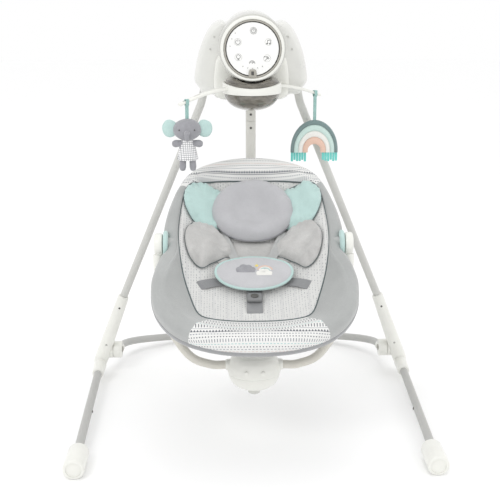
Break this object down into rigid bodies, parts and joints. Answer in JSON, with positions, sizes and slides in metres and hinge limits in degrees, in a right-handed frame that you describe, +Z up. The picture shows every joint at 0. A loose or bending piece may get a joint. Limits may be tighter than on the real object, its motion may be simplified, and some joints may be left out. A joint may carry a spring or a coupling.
{
  "type": "baby swing",
  "caption": "Folding baby swing: padded bowl seat on a curved arm that hangs from a motor head with round control dial, light globe and toy bar on an A-frame stand.",
  "frame": {"origin": "on the floor, in the middle of the footprint", "axes": "+Z up, +X to the right as seen from the front, and the swing faces -Y"},
  "size_m": [0.802, 0.8099, 0.9125],
  "materials": {
    "white_plastic": "smooth satin white",
    "face_white": "smooth gloss white",
    "grey_tube": "light grey powder coat",
    "beige_tube": "warm grey powder coat",
    "ring_tube": "light grey, hidden in the seat cover's hem",
    "taupe_plastic": "satin taupe",
    "grey_moulding": "satin mid grey",
    "dark_plastic": "satin black",
    "smoked_lens": "clear smoked gloss",
    "bright_steel": "ground",
    "magnet": "nickel plated",
    "copper_winding": "enamelled copper wire",
    "bronze_bush": "sintered bronze",
    "circuit_board": "green solder mask",
    "battery_case": "satin label",
    "grey_plush": "short grey plush",
    "knit_fabric": "light ribbed knit",
    "mint_fabric": "mint velour",
    "pillow_grey": "grey velour",
    "tummy_fabric": "printed cotton",
    "webbing": "woven webbing",
    "dark_webbing": "woven webbing"
  },
  "bodies": {
    "frame": {"housing_front": "white_plastic", "housing_rear": "white_plastic", "dial_pod": "white_plastic", "control_face": "face_white", "circuit_board": "circuit_board", "speaker": "dark_plastic", "globe_lens": "smoked_lens", "light_board": "circuit_board", "battery_left": "battery_case", "battery_right": "battery_case", "pivot_shaft": "bright_steel", "drive_coil": "copper_winding", "leg_upper_left": "grey_tube", "leg_upper_right": "grey_tube", "leg_sleeve_left": "white_plastic", "leg_sleeve_right": "white_plastic", "leg_lower_left": "grey_tube", "leg_lower_right": "grey_tube", "foot_left": "white_plastic", "foot_right": "white_plastic"},
    "leg_snap_left": {"leg_snap_left": "dark_plastic"},
    "leg_snap_right": {"leg_snap_right": "dark_plastic"},
    "battery_door_left": {"battery_door_left": "white_plastic"},
    "battery_door_right": {"battery_door_right": "white_plastic"},
    "timer_button": {"timer_button": "face_white"},
    "power_button": {"power_button": "face_white"},
    "music_button": {"music_button": "face_white"},
    "light_button": {"light_button": "face_white"},
    "nature_button": {"nature_button": "face_white"},
    "speed_ring": {"speed_ring": "taupe_plastic"},
    "toy_bar": {"toy_bar": "white_plastic"},
    "elephant_toy": {"elephant_toy": "mint_fabric"},
    "rainbow_toy": {"rainbow_toy": "mint_fabric"},
    "rear_stand": {"rear_bow": "grey_tube", "bow_knuckle_left": "white_plastic", "bow_knuckle_right": "white_plastic"},
    "fold_button_left": {"fold_button_left": "taupe_plastic"},
    "fold_button_right": {"fold_button_right": "taupe_plastic"},
    "swing_arm": {"arm_yoke": "grey_moulding", "pivot_bush": "bronze_bush", "arm_upper": "grey_tube", "arm_lower": "grey_tube", "drive_magnet": "magnet", "hub_lower": "white_plastic", "swivel_pin": "bright_steel"},
    "release_knob": {"release_knob": "white_plastic"},
    "seat_base": {"hub_upper": "white_plastic", "seat_support": "beige_tube", "fork_hub_left": "white_plastic", "fork_hub_right": "white_plastic"},
    "seat": {"seat_ring": "ring_tube", "seat_shell": "grey_plush", "seat_pad": "knit_fabric", "head_pillow": "pillow_grey", "headrest_ears": "mint_fabric", "body_support": "grey_plush", "shoulder_harness": "webbing", "lower_harness": "dark_webbing", "buckle": "grey_moulding", "tummy_pad": "tummy_fabric"}
  },
  "joints": [
    {"name": "arm_swing", "type": "hinge", "parent": "frame", "child": "swing_arm", "pos_m": [0, 0.13, 0.8], "axis": [0, 1, 0], "range_deg": [-12, 12]},
    {"name": "seat_swivel", "type": "hinge", "parent": "swing_arm", "child": "seat_base", "pos_m": [0, -0.2, 0.147], "axis": [0, 0, 1], "range_deg": [-90, 90]},
    {"name": "seat_recline", "type": "hinge", "parent": "seat_base", "child": "seat", "pos_m": [0, -0.155, 0.43], "axis": [1, 0, 0], "range_deg": [0, 14]},
    {"name": "release_knob_pull", "type": "slide", "parent": "swing_arm", "child": "release_knob", "axis": [0, 0, -1], "range_m": [0, 0.004], "stiffness_N_per_m": 500, "springref_m": -0.001},
    {"name": "rear_bow_fold", "type": "hinge", "parent": "frame", "child": "rear_stand", "pos_m": [0, 0.145, 0.065], "axis": [1, 0, 0], "range_deg": [0, 78]},
    {"name": "fold_button_left_press", "type": "slide", "parent": "rear_stand", "child": "fold_button_left", "axis": [-1, 0, 0], "range_m": [0, 0.001], "stiffness_N_per_m": 500, "springref_m": -0.0005},
    {"name": "fold_button_right_press", "type": "slide", "parent": "rear_stand", "child": "fold_button_right", "axis": [1, 0, 0], "range_m": [0, 0.001], "stiffness_N_per_m": 500, "springref_m": -0.0005},
    {"name": "leg_snap_left_press", "type": "slide", "parent": "frame", "child": "leg_snap_left", "axis": [-1, 0, 0], "range_m": [0, 0.0015], "stiffness_N_per_m": 500, "springref_m": -0.0005},
    {"name": "leg_snap_right_press", "type": "slide", "parent": "frame", "child": "leg_snap_right", "axis": [1, 0, 0], "range_m": [0, 0.0015], "stiffness_N_per_m": 500, "springref_m": -0.0005},
    {"name": "battery_door_left_open", "type": "hinge", "parent": "frame", "child": "battery_door_left", "pos_m": [-0.087, 0.199, 0.7785], "axis": [-1, 0, 0], "range_deg": [0, 75]},
    {"name": "battery_door_right_open", "type": "hinge", "parent": "frame", "child": "battery_door_right", "pos_m": [0.087, 0.199, 0.7785], "axis": [-1, 0, 0], "range_deg": [0, 75]},
    {"name": "timer_button_press", "type": "slide", "parent": "frame", "child": "timer_button", "axis": [0, 1, 0], "range_m": [0, 0.001], "stiffness_N_per_m": 500, "springref_m": -0.0005},
    {"name": "power_button_press", "type": "slide", "parent": "frame", "child": "power_button", "axis": [0, 1, 0], "range_m": [0, 0.001], "stiffness_N_per_m": 500, "springref_m": -0.0005},
    {"name": "music_button_press", "type": "slide", "parent": "frame", "child": "music_button", "axis": [0, 1, 0], "range_m": [0, 0.001], "stiffness_N_per_m": 500, "springref_m": -0.0005},
    {"name": "light_button_press", "type": "slide", "parent": "frame", "child": "light_button", "axis": [0, 1, 0], "range_m": [0, 0.001], "stiffness_N_per_m": 500, "springref_m": -0.0005},
    {"name": "nature_button_press", "type": "slide", "parent": "frame", "child": "nature_button", "axis": [0, 1, 0], "range_m": [0, 0.001], "stiffness_N_per_m": 500, "springref_m": -0.0005},
    {"name": "speed_ring_turn", "type": "hinge", "parent": "frame", "child": "speed_ring", "pos_m": [0, -0.044, 0.838], "axis": [0, 1, 0], "range_deg": [-36, 36]},
    {"name": "toy_bar_swivel", "type": "hinge", "parent": "frame", "child": "toy_bar", "pos_m": [0, 0.015, 0.745], "axis": [0, 0, 1], "range_deg": [-45, 0]},
    {"name": "elephant_hang", "type": "hinge", "parent": "toy_bar", "child": "elephant_toy", "pos_m": [-0.14414, -0.06652, 0.7268], "axis": [0.887, 0.4617, 0], "range_deg": [-20, 20]},
    {"name": "rainbow_hang", "type": "hinge", "parent": "toy_bar", "child": "rainbow_toy", "pos_m": [0.14946, 0.08632, 0.7268], "axis": [0.887, 0.4617, 0], "range_deg": [-20, 8]}
  ]
}
